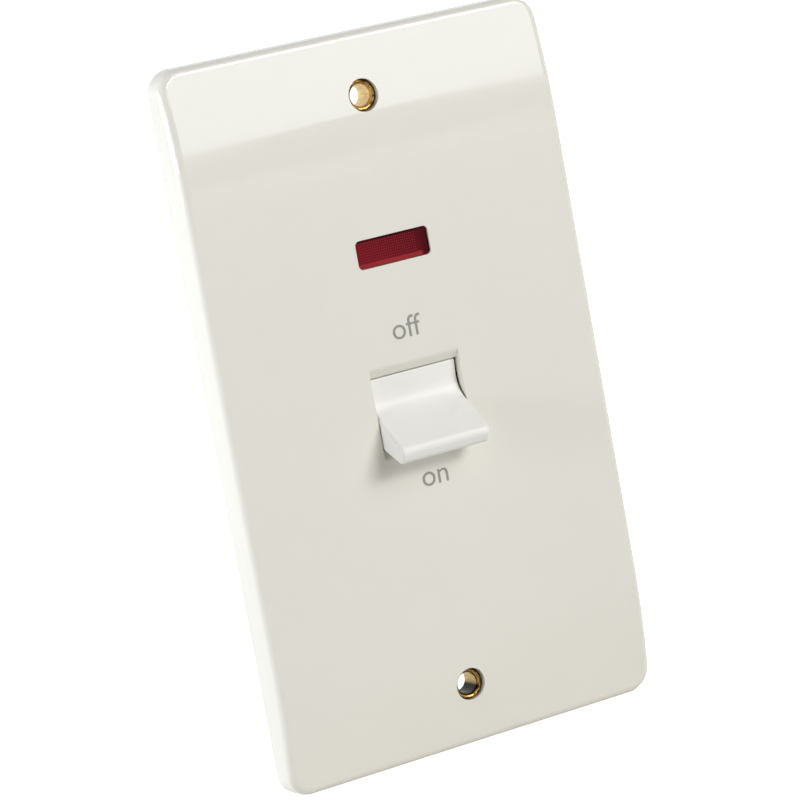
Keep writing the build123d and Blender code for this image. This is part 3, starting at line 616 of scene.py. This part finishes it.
def lens_dots(red):
    """The moulded dots on the front of the lens."""
    tree, inputs = dot_grid()
    seed = add_object("lens_dots_seed", bpy.data.meshes.new("lens_dots_seed"))
    modifier = seed.modifiers.new("dot_grid", "NODES")
    modifier.node_group = tree
    values = {
        "Columns": dot_columns,
        "Rows": dot_rows,
        "Pitch": dot_pitch,
        "Radius": dot_radius,
        "Height": dot_height,
        "Middle": (dot_middle.x, lens_level, dot_middle.z),
        "Finish": red,
    }
    for name, value in values.items():
        modifier[inputs[name]] = value
    dots = add_object("lens_dots", plain_mesh(seed, "lens_dots"))
    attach(dots, "housing")


def printed_ink():
    """Warm grey ink, a little uneven where the pad pressed it on."""
    material, tree, shader = new_material("printed_ink", {"IOR": 1.45, "Roughness": 0.4})
    speckle = noise(tree, object_place(tree), scale=1800.0, detail=4.0)
    feed(tree, shader.inputs["Base Color"], colour_run(tree, speckle, ink_run)["Color"])
    return material


def printed_word(word, middle, ink):
    """A word printed on the face, centred on a point, as a thin film of ink."""
    text = bpy.data.curves.new(f"word_{word}_text", "FONT")
    text.body = word
    text.size = word_size
    text.extrude = print_height / 2
    text.align_x = "CENTER"
    mesh = plain_mesh(add_object(f"word_{word}_text", text), f"word_{word}")
    low = min(vertex.co.y for vertex in mesh.vertices)
    high = max(vertex.co.y for vertex in mesh.vertices)
    upright = Matrix.Rotation(quarter_turn, 4, "X")
    place = Vector((middle.x, face_level - print_height / 2, middle.z - (low + high) / 2))
    mesh.transform(Matrix.Translation(place) @ upright)
    mesh.materials.clear()
    mesh.materials.append(ink)
    film = add_object(f"word_{word}", mesh)
    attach(film, "housing")


def seen_rays(tree, share):
    """A mask of the rays that show the background: the camera's, and a share off shine and through glass."""
    path = add_node(tree, "ShaderNodeLightPath").outputs
    either = arithmetic(tree, "MAXIMUM", path["Is Glossy Ray"], path["Is Transmission Ray"])
    mirrored = arithmetic(tree, "MULTIPLY", either, share)
    return arithmetic(tree, "MAXIMUM", path["Is Camera Ray"], mirrored)


def table_top():
    """A wide white table under the plate's lower edge, which keeps the plate's shadow."""
    values = {
        "Base Color": table_colour,
        "Roughness": 0.9,
        "Specular IOR Level": 0.0,
        "Emission Color": white,
    }
    material, tree, shader = new_material("table_white", values)
    distance = vector_arithmetic(tree, "LENGTH", object_place(tree))
    fade = mapped(tree, distance, shadow_reach / 3, shadow_reach, table_glow, 1.0)
    glow = arithmetic(tree, "MULTIPLY", seen_rays(tree, mirrored_glow), fade)
    feed(tree, shader.inputs["Emission Strength"], glow)
    mesh = bpy.data.meshes.new("table_top")
    ways = ((-1, -1), (1, -1), (1, 1), (-1, 1))
    corners = [(x * table_reach, y * table_reach, plate_foot) for x, y in ways]
    mesh.from_pydata(corners, [], [(0, 1, 2, 3)])
    mesh.materials.append(material)
    table = add_object("table_top", mesh)


def white_room():
    """A white surround: plain white to the camera and in reflections, and a very faint light on the rest."""
    world = bpy.data.worlds.new("white_room")
    world.use_nodes = True
    tree = world.node_tree
    background = tree.nodes["Background"].inputs
    background["Color"].default_value = white
    feed(tree, background["Strength"], mapped(tree, seen_rays(tree, 1.0), 0.0, 1.0, room_light, 1.0))
    bpy.context.scene.world = world


def studio_lights():
    """A key box on the right front with two higher ones, a wide low one, two on the left and one behind."""
    for name, (place, aim, width, height, power, tint) in soft_boxes.items():
        lamp = bpy.data.lights.new(name, "AREA")
        lamp.shape = "RECTANGLE"
        lamp.size = width
        lamp.size_y = height
        lamp.energy = power
        lamp.color = tint
        light = add_object(name, lamp)
        light.location = place
        light.rotation_euler = (Vector(aim) - Vector(place)).to_track_quat("-Z", "Y").to_euler()


def photo_camera():
    """The camera at the photograph's viewing angle."""
    camera = bpy.data.cameras.new("photo_camera")
    camera.lens = camera_lens
    camera.clip_start = camera_near
    holder = add_object("photo_camera", camera)
    turned = Matrix.Rotation(-camera_turn, 4, "Z") @ Matrix.Rotation(quarter_turn - camera_lift, 4, "X")
    rolled = Matrix.Rotation(camera_roll, 4, "Z")
    back_off = Matrix.Translation((0, 0, camera_distance))
    holder.matrix_world = Matrix.Translation(camera_aim) @ turned @ rolled @ back_off
    bpy.context.scene.camera = holder


bpy.context.scene.view_settings.view_transform = "Standard"
materials = make_materials()
paint_solids(materials)
coil_springs()
lens_dots(materials["lens_dot_painted_highlight"])
ink = printed_ink()
printed_word("off", off_middle, ink)
printed_word("on", on_middle, ink)
table_top()
white_room()
studio_lights()
photo_camera()
